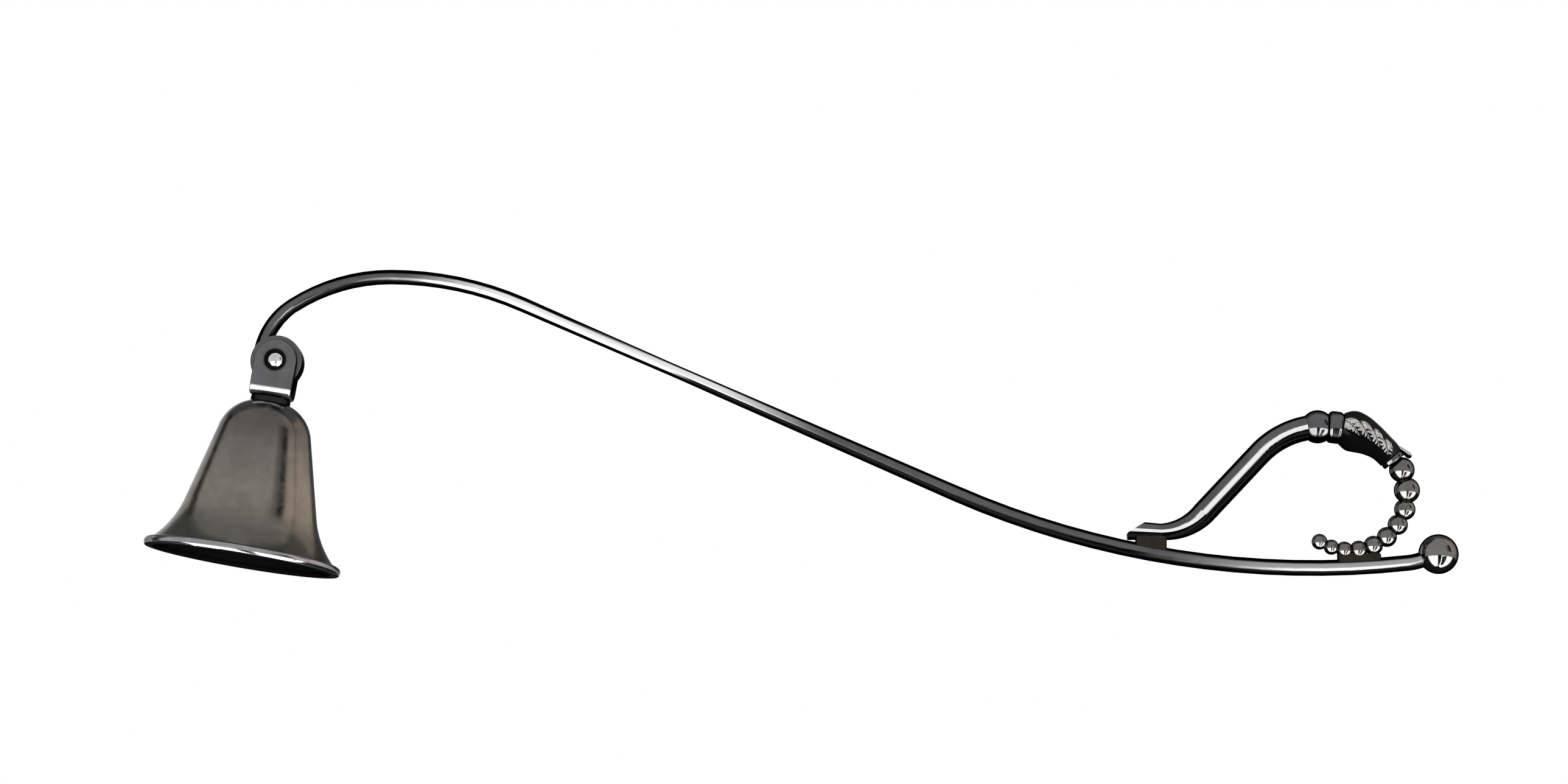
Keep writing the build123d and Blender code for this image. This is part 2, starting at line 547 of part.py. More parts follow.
def bead_centres():
    """Centres of the beads along the row's circle, each bead a little sunk into the next."""
    ahead = BEAD_TOUCH_SHARE * BEAD_RADII[0] + BEAD_ROW_LIFT * sin(radians(ROW_START_ANGLE))
    angle = ROW_START_ANGLE + degrees(asin(ahead / BEAD_ROW_RADIUS))
    angles = [angle]
    for radius, following in zip(BEAD_RADII, BEAD_RADII[1:]):
        apart = BEAD_TOUCH_SHARE * (radius + following)
        angle += 2 * degrees(asin(apart / (2 * BEAD_ROW_RADIUS)))
        angles.append(angle)
    return [on_circle(ROW_X, ROW_Z, BEAD_ROW_RADIUS, angle) for angle in angles]


def bead_row(centres):
    """Graduated beads, each faced flat where it meets the next."""
    planes = [crook_plane(ROW_START_ANGLE)]
    for centre, following, radius, next_radius in zip(centres, centres[1:], BEAD_RADII, BEAD_RADII[1:]):
        reach = following - centre
        from_first = (reach.length**2 + radius**2 - next_radius**2) / (2 * reach.length)
        planes.append(Plane(origin=centre + reach.normalized() * from_first, z_dir=reach))
    beads = []
    for number, (centre, radius) in enumerate(zip(centres, BEAD_RADII)):
        bead = split(Pos(centre) * Sphere(radius), bisect_by=planes[number], keep=Keep.TOP)
        if number + 1 < len(planes):
            bead = split(bead, bisect_by=planes[number + 1], keep=Keep.BOTTOM)
        beads.append(bead)
    return beads


def tail_pad(rod, centres, beads):
    """Soldered strip on the rod with a short column under each bead that it carries."""
    carried = [number - 1 for number in PAD_BEADS]
    back = centres[carried[-1]].X - TAIL_PAD_OVERHANG
    front = centres[carried[0]].X + TAIL_PAD_OVERHANG
    middle = (back + front) / 2
    low = rod_top(middle) - ROD_HEEL_RADIUS
    high = rod_top(middle) + TAIL_PAD_HEIGHT
    strip = fillet(Box(front - back, TAIL_PAD_WIDTH, high - low).edges().filter_by(Axis.Z), PAD_ROUND)
    pad = Pos(middle, 0, (low + high) / 2) * strip
    for number in carried:
        centre = centres[number]
        column = Cylinder(PAD_COLUMN_SHARE * BEAD_RADII[number], centre.Z - rod_top(middle), align=DOWNWARDS)
        pad += Pos(centre) * column
    for bead in beads:
        pad -= bead
    return pad - rod


def all_parts():
    """Every piece by its name."""
    rod = handle_rod()
    stem_solid = stem()
    centres = bead_centres()
    beads = bead_row(centres)
    parts = {
        "bell_cup": bell_cup(),
        "rim_wire": rim_wire(),
        "neck_collar": neck_collar(),
        "crown_rivet": crown_rivet(),
        "yoke": yoke(),
        "hinge_pin": hinge_pin(),
        "handle_rod": rod,
        "ball_finial": ball_finial(),
        "stem": stem_solid,
        "stem_pad": stem_pad(rod, stem_solid),
        "collar_bead": collar_bead(),
        "collar_ring": collar_ring(),
        "bud": bud(),
        "bud_tip_collar": bud_tip_collar(),
        "tail_pad": tail_pad(rod, centres, beads),
    }
    for number, bead in enumerate(beads, start=1):
        parts[f"bead_{number:02d}"] = bead
    return parts


os.makedirs("parts", exist_ok=True)
for name, solid in all_parts().items():
    export_step(solid, f"parts/{name}.step")
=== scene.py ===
import json
from math import cos, exp, pi, radians, sin

import bpy
from bpy.props import FloatProperty, FloatVectorProperty, PointerProperty
from bpy.types import Operator, Panel, PropertyGroup
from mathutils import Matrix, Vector

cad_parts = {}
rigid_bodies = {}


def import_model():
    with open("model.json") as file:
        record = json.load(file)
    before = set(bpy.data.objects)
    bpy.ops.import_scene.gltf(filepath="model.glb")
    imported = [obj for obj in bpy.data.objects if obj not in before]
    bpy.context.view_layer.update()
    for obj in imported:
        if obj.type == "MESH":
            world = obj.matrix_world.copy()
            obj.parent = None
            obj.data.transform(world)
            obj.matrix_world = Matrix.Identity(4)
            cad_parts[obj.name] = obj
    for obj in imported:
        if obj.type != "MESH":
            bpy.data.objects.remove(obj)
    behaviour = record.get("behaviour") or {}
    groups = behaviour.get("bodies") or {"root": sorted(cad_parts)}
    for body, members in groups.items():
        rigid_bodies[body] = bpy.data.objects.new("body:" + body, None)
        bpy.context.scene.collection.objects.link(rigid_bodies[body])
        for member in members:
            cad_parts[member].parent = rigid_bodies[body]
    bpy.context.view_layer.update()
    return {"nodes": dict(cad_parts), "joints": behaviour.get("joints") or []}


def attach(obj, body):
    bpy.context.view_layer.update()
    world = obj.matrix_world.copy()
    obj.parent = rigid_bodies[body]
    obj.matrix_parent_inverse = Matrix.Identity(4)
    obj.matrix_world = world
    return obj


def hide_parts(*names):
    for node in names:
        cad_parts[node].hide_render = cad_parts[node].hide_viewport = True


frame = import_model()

bl_info = {
    "name": "Candle Snuffer",
    "version": (1, 0, 0),
    "blender": (4, 5, 0),
    "location": "View3D > Sidebar > Snuffer",
    "description": "Finishes a silver candle snuffer on its CAD frame and sets up a plain studio",
    "category": "Object",
}

# The hinge pin and the way that the bell hangs from it
PIN = Vector(frame["joints"][0]["pos_m"])
PIN_AXIS = Vector((0.0, 1.0, 0.0))
BELL_TILT = radians(9.0)
BELL_AXIS = Vector((-sin(BELL_TILT), 0.0, -cos(BELL_TILT)))

WHITE = (1.0, 1.0, 1.0)
BLACK = (0.0, 0.0, 0.0)
# Soot inside the bell; also the painted shade on the undersides of the rod, the stem, the collars and the
# bud
SOOT_AND_SHADE = (0.002, 0.002, 0.002)
# Painted shade on the outer and inner edges of bars
PAINTED_EDGE_SHADE = (0.004, 0.004, 0.004)
# Painted shade in seams and hollows and round the pin's head
PAINTED_SHADE = (0.006, 0.006, 0.006)

# Kinds of a node group's sockets, and a colour where none is given
FLOAT = "NodeSocketFloat"
COLOUR = "NodeSocketColor"
VECTOR = "NodeSocketVector"
GREY = (0.14, 0.14, 0.14, 1.0)


# Node helpers


def opaque(colour):
    """A colour with a full alpha."""
    return (*colour, 1.0)


def add_node(tree, kind, place, inputs=None, **settings):
    """A node of the tree at a place in its editor. Its inputs take values or other nodes' outputs."""
    node = tree.nodes.new(kind)
    node.location = place
    for name, value in settings.items():
        setattr(node, name, value)
    for socket, value in (inputs or {}).items():
        if isinstance(value, bpy.types.NodeSocket):
            tree.links.new(value, node.inputs[socket])
        else:
            node.inputs[socket].default_value = value
    return node


def maths(tree, place, operation, first, second=0.0):
    """The result of a sum, a product or the like."""
    return add_node(tree, "ShaderNodeMath", place, {0: first, 1: second}, operation=operation).outputs[0]


def vector_maths(tree, place, operation, first, second=(0.0, 0.0, 0.0)):
    """The result of vector maths: a number for a dot product or a length, or else a vector."""
    node = add_node(tree, "ShaderNodeVectorMath", place, {0: first, 1: second}, operation=operation)
    return node.outputs["Value" if operation in ("DOT_PRODUCT", "LENGTH") else "Vector"]


def mapped(tree, place, value, span, onto=(0.0, 1.0), kind="LINEAR"):
    """A value's place in a span, mapped onto another span."""
    inputs = {"Value": value, "From Min": span[0], "From Max": span[1], "To Min": onto[0], "To Max": onto[1]}
    return add_node(tree, "ShaderNodeMapRange", place, inputs, interpolation_type=kind).outputs[0]


def faded(tree, place, value, first, last):
    """A mask that runs smoothly from 0 at the first value to 1 at the last."""
    return mapped(tree, place, value, (first, last), kind="SMOOTHSTEP")


def noise(tree, place, inputs):
    """The value of a noise texture."""
    return add_node(tree, "ShaderNodeTexNoise", place, inputs).outputs[0]


def mixed(tree, place, factor, first, second, blend="MIX"):
    """A mix of two colours."""
    return add_node(tree, "ShaderNodeMix", place, {0: factor, 6: first, 7: second},
                    data_type="RGBA", blend_type=blend).outputs[2]


def out_from_axis(tree, position, point, axis):
    """Vector from an axis straight out to the surface."""
    offset = vector_maths(tree, (-700, 350), "SUBTRACT", position, point)
    along = vector_maths(tree, (-550, 500), "PROJECT", offset, axis)
    return vector_maths(tree, (-400, 350), "SUBTRACT", offset, along)


def new_material(name):
    """An empty material and its node tree."""
    material = bpy.data.materials.new(name)
    material.use_nodes = True
    material.node_tree.nodes.clear()
    return material, material.node_tree


def new_group(name, inputs, outputs):
    """An empty shader node group with named sockets, and what its inputs give."""
    tree = bpy.data.node_groups.new(name, "ShaderNodeTree")
    for label, kind, default in inputs:
        socket = tree.interface.new_socket(name=label, in_out="INPUT", socket_type=kind)
        if default is not None:
            socket.default_value = default
    for label, kind in outputs:
        tree.interface.new_socket(name=label, in_out="OUTPUT", socket_type=kind)
    return tree, add_node(tree, "NodeGroupInput", (-900, 0)).outputs


def end_group(tree, results):
    """Ends a node group with its results."""
    add_node(tree, "NodeGroupOutput", (600, 0), results)
    return tree


# Shared node groups


def tarnish_clouds(name):
    """Cloudy tarnish in two sizes of cloud, from a metal's clear colour to its tarnished one."""
    small_clouds, small_share = 7.0, 0.35
    clear_below, tarnished_above = 0.36, 0.66
    tree, given = new_group(
        name,
        [("Vector", VECTOR, None),
         ("Cloud Scale", FLOAT, 60.0),
         ("Clear Colour", COLOUR, GREY),
         ("Tarnish Colour", COLOUR, (0.06, 0.06, 0.05, 1.0)),
         ("Amount", FLOAT, 0.6)],
        [("Colour", COLOUR), ("Mask", FLOAT)])
    large = noise(tree, (-650, 150), {"Vector": given["Vector"], "Scale": given["Cloud Scale"],
                                      "Detail": 5.0, "Roughness": 0.55})
    finer = maths(tree, (-650, -120), "MULTIPLY", given["Cloud Scale"], small_clouds)
    small = noise(tree, (-450, -120), {"Vector": given["Vector"], "Scale": finer, "Detail": 4.0})
    both = add_node(tree, "ShaderNodeMix", (-250, 80), {0: small_share, 2: large, 3: small})
    clouds = faded(tree, (-60, 80), both.outputs[0], clear_below, tarnished_above)
    mask = maths(tree, (140, 80), "MULTIPLY", clouds, given["Amount"])
    colour = mixed(tree, (340, 120), mask, given["Clear Colour"], given["Tarnish Colour"])
    return end_group(tree, {"Colour": colour, "Mask": mask})


def polishing_marks(name):
    """Fine scratches along the metal and soft dents, as roughness and height."""
    scratch_stretch, scratch_turn = (0.06, 1.0, 1.0), radians(18.0)
    scratch_span, scratch_roughness = (0.35, 0.75), (0.85, 1.45)
    scratch_depth, dent_depth, tarnish_roughness = 0.06, 0.5, 0.1
    tree, given = new_group(
        name,
        [("Vector", VECTOR, None),
         ("Tarnish Mask", FLOAT, 0.0),
         ("Roughness", FLOAT, 0.12),
         ("Dent Scale", FLOAT, 120.0)],
        [("Roughness", FLOAT), ("Height", FLOAT)])
    stretch = add_node(tree, "ShaderNodeMapping", (-680, 260),
                       {"Vector": given["Vector"], "Scale": scratch_stretch,
                        "Rotation": (0.0, scratch_turn, 0.0)})
    scratch = noise(tree, (-480, 260), {"Vector": stretch.outputs[0], "Scale": 900.0, "Detail": 3.0})
    dent = noise(tree, (-480, -60), {"Vector": given["Vector"], "Scale": given["Dent Scale"],
                                     "Detail": 2.0})
    spread = mapped(tree, (-260, 260), scratch, scratch_span, scratch_roughness)
    scaled = maths(tree, (-60, 260), "MULTIPLY", spread, given["Roughness"])
    dulled = maths(tree, (-60, 60), "MULTIPLY", given["Tarnish Mask"], tarnish_roughness)
    deep = maths(tree, (-260, -60), "MULTIPLY", dent, dent_depth)
    shallow = maths(tree, (-60, -120), "MULTIPLY", scratch, scratch_depth)
    return end_group(tree, {"Roughness": maths(tree, (180, 200), "ADD", scaled, dulled),
                            "Height": maths(tree, (180, -80), "ADD", deep, shallow)})


def painted_tone_by_tilt(name):
    """Painted shade, or a painted highlight, over a colour on the faces past a tilt."""
    tree, given = new_group(
        name,
        [("Normal", VECTOR, None),
         ("Colour", COLOUR, GREY),
         ("Tone", COLOUR, opaque(SOOT_AND_SHADE)),
         ("Start", FLOAT, -0.3),
         ("End", FLOAT, -0.5)],
        [("Colour", COLOUR)])
    split = add_node(tree, "ShaderNodeSeparateXYZ", (-600, -100), {0: given["Normal"]})
    mask = faded(tree, (-300, -100), split.outputs["Z"], given["Start"], given["End"])
    return end_group(tree, {"Colour": mixed(tree, (200, 100), mask, given["Colour"], given["Tone"])})


def painted_edge_shade(name):
    """Painted shade over a colour on a bar's outer and inner edges, which look least to its sides."""
    tree, given = new_group(
        name,
        [("Normal", VECTOR, None),
         ("Colour", COLOUR, GREY),
         ("Start", FLOAT, 0.86),
         ("End", FLOAT, 0.72)],
        [("Colour", COLOUR)])
    split = add_node(tree, "ShaderNodeSeparateXYZ", (-650, -100), {0: given["Normal"]})
    sideways = maths(tree, (-450, -100), "ABSOLUTE", split.outputs["Y"])
    mask = faded(tree, (-250, -100), sideways, given["Start"], given["End"])
    colour = mixed(tree, (200, 100), mask, given["Colour"], opaque(PAINTED_EDGE_SHADE))
    return end_group(tree, {"Colour": colour})


def painted_seam_shade(name):
    """Painted shade over a colour where the surface is least open."""
    closed, open_enough, strength = 0.25, 0.85, 0.95
    tree, given = new_group(
        name,
        [("Openness", FLOAT, 1.0),
         ("Colour", COLOUR, GREY)],
        [("Colour", COLOUR)])
    mask = mapped(tree, (-300, -100), given["Openness"], (closed, open_enough), (strength, 0.0))
    return end_group(tree, {"Colour": mixed(tree, (200, 100), mask, given["Colour"], opaque(PAINTED_SHADE))})


def bell_soot_and_shade(name):
    """Soot over a colour on the faces that look to the bell's axis, with a lean towards one side; the lean
    adds painted shade on the faces that look that way.
    """
    clean_above, sooty_below = 0.12, -0.12
    tree, given = new_group(
        name,
        [("Position", VECTOR, None),
         ("Normal", VECTOR, None),
         ("Colour", COLOUR, GREY),
         ("Lean", VECTOR, (0.0, 0.0, 0.0))],
        [("Colour", COLOUR), ("Mask", FLOAT)])
    out = out_from_axis(tree, given["Position"], PIN, BELL_AXIS)
    unit = vector_maths(tree, (-250, 350), "NORMALIZE", out)
    leaning = vector_maths(tree, (-100, 350), "SUBTRACT", unit, given["Lean"])
    facing = vector_maths(tree, (50, 350), "DOT_PRODUCT", leaning, given["Normal"])
    mask = faded(tree, (200, 350), facing, clean_above, sooty_below)
    colour = mixed(tree, (400, 200), mask, given["Colour"], opaque(SOOT_AND_SHADE))
    return end_group(tree, {"Colour": colour, "Mask": mask})


def rod_stretch(name):
    """Mask of a stretch of the rod: it fades in between two places and fades out between two more."""
    tree, given = new_group(
        name,
        [("Position", VECTOR, None),
         ("In Start", FLOAT, 0.0),
         ("In End", FLOAT, 0.01),
         ("Out Start", FLOAT, 0.05),
         ("Out End", FLOAT, 0.06)],
        [("Mask", FLOAT)])
    split = add_node(tree, "ShaderNodeSeparateXYZ", (-600, 0), {0: given["Position"]})
    rise = faded(tree, (-300, 200), split.outputs["X"], given["In Start"], given["In End"])
    fall = faded(tree, (-300, -150), split.outputs["X"], given["Out End"], given["Out Start"])
    return end_group(tree, {"Mask": maths(tree, (0, 0), "MULTIPLY", rise, fall)})


GROUPS = {
    "Tarnish clouds": tarnish_clouds,
    "Polishing marks": polishing_marks,
    "Painted light and shade by tilt": painted_tone_by_tilt,
    "Painted edge shade": painted_edge_shade,
    "Painted seam shade": painted_seam_shade,
    "Bell soot and shade": bell_soot_and_shade,
    "Rod stretch": rod_stretch,
}


def place_group(tree, name, place, inputs):
    """The outputs of a shared node group, placed in a tree with its own inputs and made the first time."""
    group = bpy.data.node_groups.get(name) or GROUPS[name](name)
    return add_node(tree, "ShaderNodeGroup", place, inputs, node_tree=group).outputs


# Effects on a metal's colour: each takes the node tree, its texture coordinates and the colour's socket, and
# gives the new colour's socket and a mask of dull places, if it has one


def painted_by_tilt(first, last, tone=SOOT_AND_SHADE):
    """Painted shade, or a painted highlight, on the faces past a tilt, fading in between two heights of
    their normal.
    """
    def effect(tree, place, colour):
        faces = place_group(tree, "Painted light and shade by tilt", (150, 350),
                            {"Normal": place["Normal"], "Colour": colour, "Tone": opaque(tone),
                             "Start": first, "End": last})
        return faces["Colour"], None
    return effect


def painted_dark_edges(first, last):
    """Painted shade on a bar's outer and inner edges, fading in between two shares of looking sideways."""
    def effect(tree, place, colour):
        edges = place_group(tree, "Painted edge shade", (150, 350),
                            {"Normal": place["Normal"], "Colour": colour, "Start": first, "End": last})
        return edges["Colour"], None
    return effect


def shade_in_seams(reach):
    """Painted shade in seams and hollows, from ambient occlusion."""
    def effect(tree, place, colour):
        hollow = add_node(tree, "ShaderNodeAmbientOcclusion", (-100, 350), {"Distance": reach}, samples=8)
        seams = place_group(tree, "Painted seam shade", (150, 350),
                            {"Openness": hollow.outputs["AO"], "Colour": colour})
        return seams["Colour"], None
    return effect


def soot_and_shade(lean):
    """Soot on the faces that look to the bell's axis, and with a lean also painted shade on those that look
    down.
    """
    def effect(tree, place, colour):
        soot = place_group(tree, "Bell soot and shade", (150, 350),
                           {"Position": place["Object"], "Normal": place["Normal"], "Colour": colour,
                            "Lean": lean * BELL_AXIS})
        return soot["Colour"], soot["Mask"]
    return effect


def painted_shade_ring(inner, outer):
    """Painted shade in a ring round the hinge pin's head."""
    def effect(tree, place, colour):
        out = out_from_axis(tree, place["Object"], PIN, PIN_AXIS)
        radius = vector_maths(tree, (-200, 350), "LENGTH", out)
        mask = faded(tree, (0, 350), radius, outer, inner)
        return mixed(tree, (200, 350), mask, colour, opaque(PAINTED_SHADE)), None
    return effect


def painted_bend_highlight(bright):
    """Painted highlight where the strap's bend turns under."""
    level, turned = 0.03, 0.12

    def effect(tree, place, colour):
        facing = vector_maths(tree, (-200, 350), "DOT_PRODUCT", place["Normal"], BELL_AXIS)
        mask = faded(tree, (0, 350), facing, level, turned)
        return mixed(tree, (200, 350), mask, colour, opaque(bright)), None
    return effect


def painted_highlight(bright):
    """Painted highlight: a bright colour mixed over most of the metal's own."""
    highlight_share = 0.9

    def effect(tree, place, colour):
        return mixed(tree, (150, 350), highlight_share, colour, opaque(bright)), None
    return effect


def along_rod(stretch, inner):
    """An effect on one stretch of the rod."""
    (in_start, in_end), (out_start, out_end) = stretch

    def effect(tree, place, colour):
        changed, dull = inner(tree, place, colour)
        part = place_group(tree, "Rod stretch", (150, 650),
                           {"Position": place["Object"], "In Start": in_start, "In End": in_end,
                            "Out Start": out_start, "Out End": out_end})
        return mixed(tree, (400, 500), part["Mask"], colour, changed), dull
    return effect


# Painted reflection on the bell from its crown to its mouth: shares of that way and what the colour is
# multiplied by
BELL_REFLECTION_TONES = ((0.0, (0.66, 0.66, 0.76)), (0.16, (0.78, 0.76, 0.80)), (0.3, (1.26, 1.24, 1.26)),
              (0.5, (1.58, 1.55, 1.52)), (0.64, (1.36, 1.36, 1.32)), (0.76, (0.86, 0.86, 0.84)),
              (1.0, (0.72, 0.73, 0.74)))
# From the hinge pin down to the bell's crown and to its mouth
CROWN_DEPTH, MOUTH_DEPTH = 0.0075, 0.0415


def painted_bell_reflection(tree, place, colour):
    """Painted reflection on the bell: a darker crown, a brighter middle wall and a darker mouth."""
    offset = vector_maths(tree, (-700, 350), "SUBTRACT", place["Object"], PIN)
    down = vector_maths(tree, (-500, 350), "DOT_PRODUCT", offset, BELL_AXIS)
    share = mapped(tree, (-300, 350), down, (CROWN_DEPTH, MOUTH_DEPTH))
    tones = add_node(tree, "ShaderNodeValToRGB", (-100, 350), {0: share})
    steps = tones.color_ramp.elements
    while len(steps) < len(BELL_REFLECTION_TONES):
        steps.new(0.5)
    for step, (position, tone) in zip(steps, BELL_REFLECTION_TONES):
        step.position = position
        step.color = opaque(tone)
    return mixed(tree, (200, 350), 1.0, colour, tones.outputs["Color"], "MULTIPLY"), None


def worn_relief(ground):
    """Dark ground between the raised leaves, which wear keeps bright."""
    worn_above, dark_below = 0.36, 0.05

    def effect(tree, place, colour):
        height = add_node(tree, "ShaderNodeAttribute", (-200, 350), attribute_name="relief")
        mask = faded(tree, (0, 350), height.outputs["Fac"], worn_above, dark_below)
        return mixed(tree, (200, 350), mask, colour, opaque(ground)), mask
    return effect


MATT_ROUGHNESS = 0.75
EFFECT_GAP = 700  # between the effects' nodes in the editor


def silver(name, clear, tarnished, amount, roughness, clouds, dents, edge, effects=()):
    """Tarnished silver, whose colour, roughness and surface come from the shared groups and effects."""
    material, tree = new_material(name)
    place = add_node(tree, "ShaderNodeTexCoord", (-1200, 0)).outputs
    tarnish = place_group(tree, "Tarnish clouds", (-350, 150),
                          {"Vector": place["Object"], "Cloud Scale": clouds, "Clear Colour": opaque(clear),
                           "Tarnish Colour": opaque(tarnished), "Amount": amount})
    polish = place_group(tree, "Polishing marks", (-100, -150),
                         {"Vector": place["Object"], "Tarnish Mask": tarnish["Mask"],
                          "Roughness": roughness, "Dent Scale": dents})
    relief = add_node(tree, "ShaderNodeBump", (150, -250),
                      {"Strength": 0.1, "Distance": 0.0001, "Height": polish["Height"]})
    colour, dull = tarnish["Colour"], polish["Roughness"]
    for number, effect in enumerate(effects):
        known = len(tree.nodes)
        colour, dull_mask = effect(tree, place, colour)
        for node in tree.nodes[known:]:
            node.location.y += number * EFFECT_GAP
        if dull_mask:
            matt = add_node(tree, "ShaderNodeMix", (350, -50), {0: dull_mask, 2: dull, 3: MATT_ROUGHNESS})
            dull = matt.outputs[0]
    metal = add_node(tree, "ShaderNodeBsdfPrincipled", (600, 0),
                     {"Base Color": colour, "Roughness": dull, "Metallic": 1.0,
                      "Specular Tint": (edge, edge, edge, 1.0), "Normal": relief.outputs[0]})
    add_node(tree, "ShaderNodeOutputMaterial", (900, 0), {"Surface": metal.outputs[0]})
    return material


def finish_node(name, material):
    """Gives a CAD node its material."""
    node = frame["nodes"][name]
    node.data.materials.clear()
    node.data.materials.append(material)


# Properties


class SnufferFinish(PropertyGroup):
    """Colours of the silver, of its painted highlights and shade, and sizes of the carved leaves."""
    bell_colour: FloatVectorProperty(
        name="Bell", description="Silver of the bell where it is clear", subtype="COLOR",
        default=(0.13, 0.125, 0.11), min=0.0, max=1.0)
    bell_tarnish: FloatVectorProperty(
        name="Bell tarnish", description="Tarnish of the bell and the ball", subtype="COLOR",
        default=(0.075, 0.075, 0.06), min=0.0, max=1.0)
    rod_colour: FloatVectorProperty(
        name="Rod", description="Silver of the rod, the stem and the collars", subtype="COLOR",
        default=(0.105, 0.102, 0.107), min=0.0, max=1.0)
    rod_tarnish: FloatVectorProperty(
        name="Rod tarnish", description="Tarnish of the rod, the stem, the rim and the finger loop",
        subtype="COLOR", default=(0.058, 0.055, 0.056), min=0.0, max=1.0)
    yoke_colour: FloatVectorProperty(
        name="Yoke", description="Silver of the yoke", subtype="COLOR",
        default=(0.13, 0.13, 0.135), min=0.0, max=1.0)
    yoke_tarnish: FloatVectorProperty(
        name="Yoke tarnish", description="Tarnish of the yoke", subtype="COLOR",
        default=(0.07, 0.07, 0.073), min=0.0, max=1.0)
    # The pin's colour is also used as the painted highlight on the yoke's bend
    pin_colour: FloatVectorProperty(
        name="Pin", description="Bright silver of the hinge pin, and the painted highlight on the yoke's bend", subtype="COLOR",
        default=(0.62, 0.62, 0.6), min=0.0, max=1.0)
    rim_colour: FloatVectorProperty(
        name="Rim", description="Silver of the rim wire, worn brighter", subtype="COLOR",
        default=(0.32, 0.32, 0.335), min=0.0, max=1.0)
    bead_colour: FloatVectorProperty(
        name="Beads", description="Silver of the beads and the ball", subtype="COLOR",
        default=(0.16, 0.157, 0.152), min=0.0, max=1.0)
    leaf_length: FloatProperty(
        name="Leaf length", description="Length of the bud's largest leaf", default=0.0047,
        unit="LENGTH")
    leaf_width: FloatProperty(
        name="Leaf width", description="Width of the bud's largest leaf", default=0.0028,
        unit="LENGTH")
    leaf_rise: FloatProperty(
        name="Leaf rise", description="Height of the bud's leaves above its body", default=0.0007,
        unit="LENGTH")
    leaf_colour: FloatVectorProperty(
        name="Leaves", description="Silver of the bud's leaves, worn brighter", subtype="COLOR",
        default=(0.55, 0.545, 0.53), min=0.0, max=1.0)
    pad_colour: FloatVectorProperty(
        name="Pads", description="Solder of the pads under the stem and the beads", subtype="COLOR",
        default=(0.03, 0.027, 0.02), min=0.0, max=1.0)
    # Painted highlight on the rod's arch and the stem's sides
    highlight_colour: FloatVectorProperty(
        name="Painted highlight", description="Painted highlight on the rod's arch and the stem's sides",
        subtype="COLOR", default=(0.85, 0.85, 0.85), min=0.0, max=1.0)
    # Painted highlight on the rod's heel
    heel_highlight_colour: FloatVectorProperty(
        name="Heel highlight", description="Painted highlight on the rod's heel under the finger loop",
        subtype="COLOR", default=(0.36, 0.35, 0.36), min=0.0, max=1.0)
    # Painted shade round the bell's neck, and patina between the bud's leaves
    neck_shade_and_patina: FloatVectorProperty(
        name="Blackened", description="Painted shade round the bell's neck, and patina between the leaves",
        subtype="COLOR", default=(0.02, 0.02, 0.02), min=0.0, max=1.0)
    # Painted shade round the bell's neck, and tarnish of the pads
    neck_shade_and_pad_tarnish: FloatVectorProperty(
        name="Blackened tarnish", description="Painted shade round the bell's neck, and tarnish on the pads",
        subtype="COLOR", default=(0.008, 0.008, 0.008), min=0.0, max=1.0)


class SnufferStage(PropertyGroup):
    """Camera, floor and light."""
    camera_distance: FloatProperty(
        name="Camera distance", description="From the camera to the point that it looks at",
        default=0.690, unit="LENGTH")
    camera_elevation: FloatProperty(
        name="Camera elevation", description="Angle of the camera above the floor, seen from its target",
        default=radians(-8.5), subtype="ANGLE")
    focal_pixels: FloatProperty(
        name="Focal length in pixels", description="Focal length as pixels of the photograph's frame",
        default=6000.0)
    target: FloatVectorProperty(
        name="Camera target", description="Point that the camera looks at, from the hinge pin",
        default=(0.0958, 0.0, -0.00565), subtype="XYZ", unit="LENGTH")
    floor_colour: FloatVectorProperty(
        name="Floor", description="Colour of the floor", subtype="COLOR",
        default=(0.80, 0.80, 0.80), min=0.0, max=1.0)
    sky_level: FloatProperty(
        name="Sky level", description="Light of the white surroundings on the floor", default=0.85)


# Stage


PHOTO_WIDTH = 2576  # pixels of the photograph's frame
SENSOR_WIDTH = 36.0  # millimetres
NEAREST_SEEN = 0.01
FLOOR_REACH = 8.0

# Light panels and dark flags round the object: azimuths from the camera's side towards the ball, elevations
# above the floor, brightness and colour
PANEL_DISTANCE = 1.3
PANEL_STEPS = 12
PANELS = (
    ("panel_low_left", (-70.0, -8.0), (-80.0, -15.0), 8.0, WHITE),
    ("panel_low_right", (14.0, 82.0), (-80.0, -15.0), 8.0, WHITE),
    ("panel_back_left", (-174.0, -122.0), (-10.0, 27.0), 1.35, WHITE),
    ("panel_right", (74.0, 148.0), (0.0, 58.0), 1.35, (1.0, 0.88, 0.80)),
    ("flag_middle", (-8.0, 14.0), (-80.0, -12.0), 0.0, BLACK),
    ("flag_below", (-180.0, 180.0), (-90.0, -80.0), 0.0, BLACK),
    ("flag_low_back", (84.0, 288.0), (-80.0, -12.0), 0.05, WHITE),
    ("flag_left", (-121.0, -104.0), (-10.0, 60.0), 0.1, WHITE),
    ("flag_right_soft", (46.0, 58.0), (8.0, 36.0), 0.5, WHITE),
    ("flag_right", (58.0, 72.0), (6.0, 36.0), 0.05, WHITE),
    ("flag_far_right", (150.0, 184.0), (3.0, 36.0), 0.2, WHITE),
    ("flag_back_left", (-178.0, -118.0), (28.0, 60.0), 0.4, WHITE),
    ("flag_back_top", (105.0, 255.0), (38.0, 82.0), 0.5, (0.88, 0.93, 1.0)),
)

# An upright black flag that the ball mirrors, in front of it, to its right and below it
BALL_FLAG_Y = -0.1
BALL_FLAG_X = (0.140, 0.205)
BALL_FLAG_Z = (-0.300, -0.028)

# Lamps: azimuth, elevation, distance, size and power
LAMPS = (
    ("key_lamp", -40.0, 55.0, 1.2, 0.6, 4.5),
    ("fill_lamp", 50.0, 45.0, 1.4, 0.9, 1.5),
    ("back_lamp", 165.0, 50.0, 1.3, 0.8, 1.5),
)


